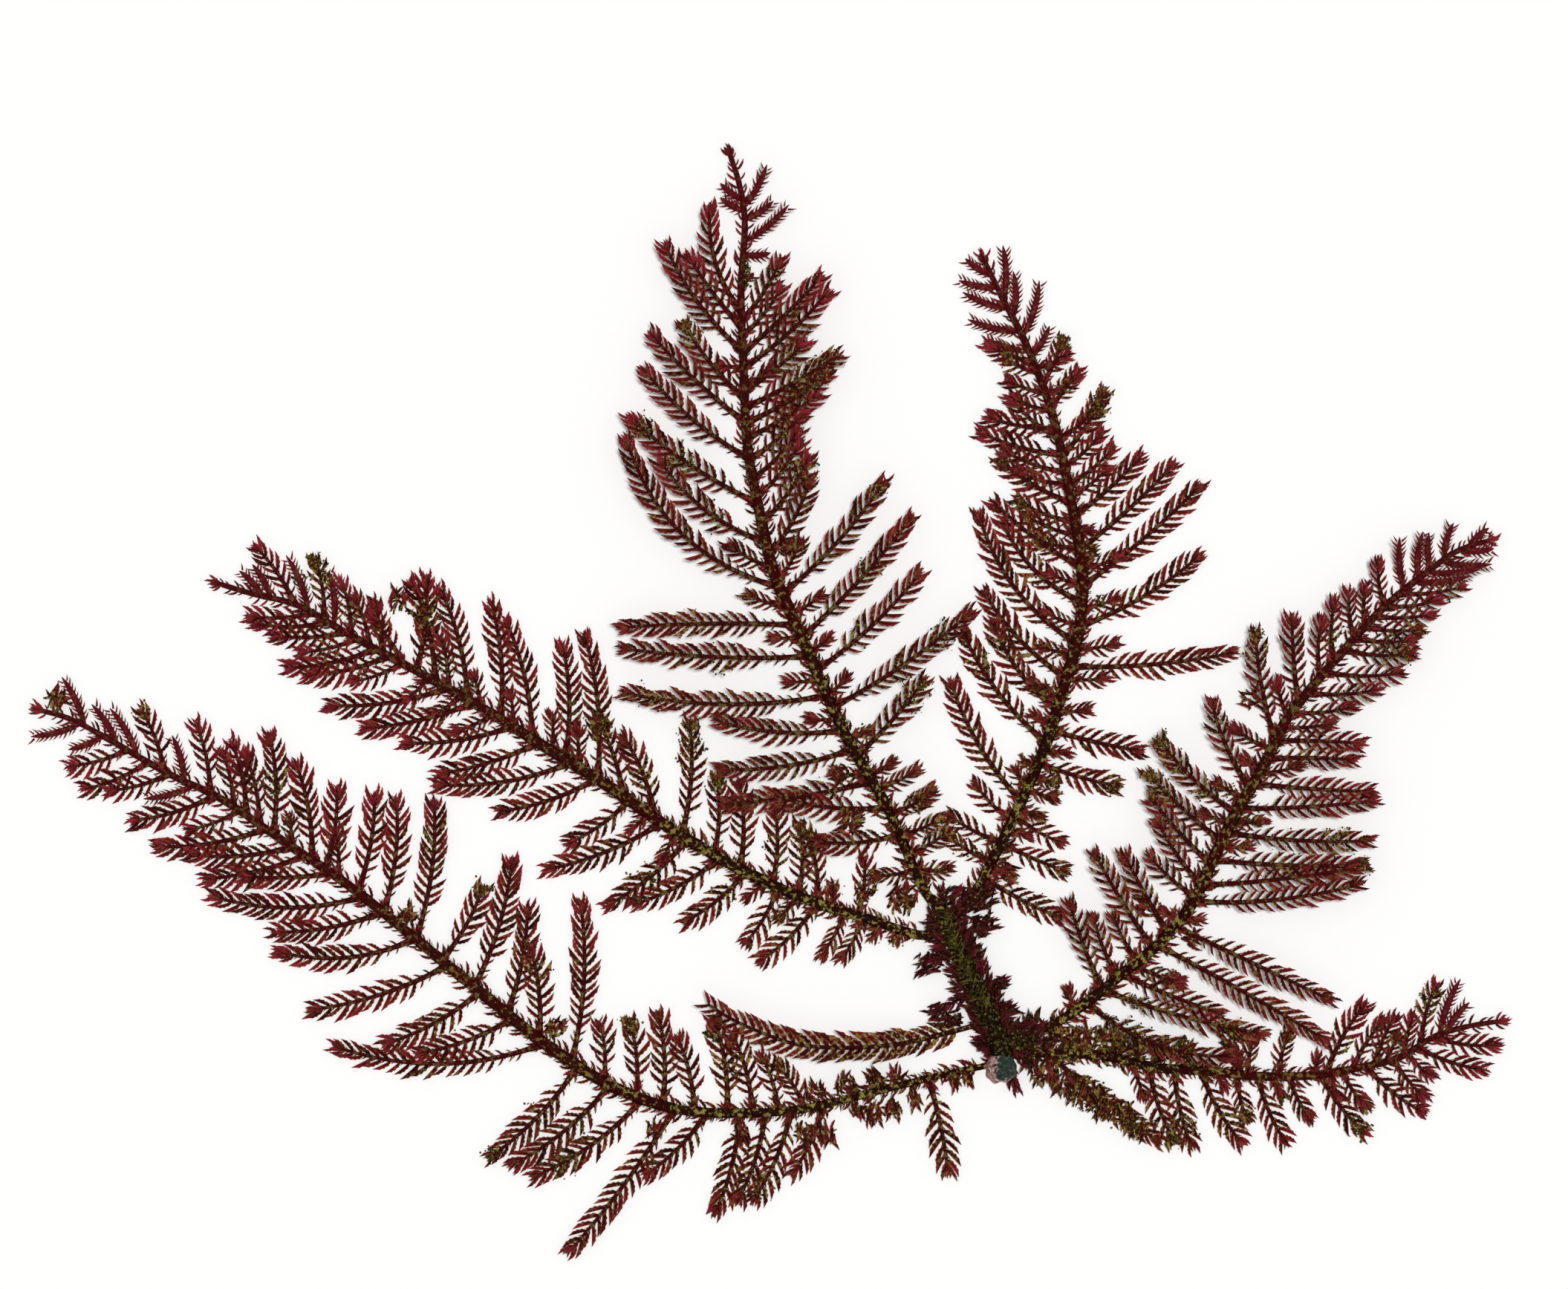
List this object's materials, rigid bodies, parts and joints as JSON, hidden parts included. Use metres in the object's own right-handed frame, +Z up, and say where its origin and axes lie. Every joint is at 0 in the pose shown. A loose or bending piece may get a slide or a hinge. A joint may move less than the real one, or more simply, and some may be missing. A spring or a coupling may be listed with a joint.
{
  "type": "ptilota asplenioides seaweed",
  "caption": "Dried, pressed fan of the dark red feathery seaweed Ptilota asplenioides, with fronds spreading from one small holdfast.",
  "frame": {"origin": "centre of the holdfast's flat foot, on the surface that the fan lies on", "axes": "+Z up from that surface, +X along the fan's width towards the shorter right-hand fronds, +Y from the holdfast towards the tallest frond's tip"},
  "size_m": [0.1137, 0.0849, 0.002],
  "materials": {
    "frond": "dry, matt, wine red",
    "old_stem": "dry, rough, olive-crusted dark brown",
    "holdfast_crust": "dry, chalky, pinkish"
  },
  "bodies": {
    "root": {"holdfast": "holdfast_crust", "stem": "old_stem", "side_branch": "frond", "far_left_frond": "frond", "left_frond": "frond", "central_frond": "frond", "right_centre_frond": "frond", "right_frond": "frond", "lower_right_frond": "frond"}
  },
  "joints": []
}
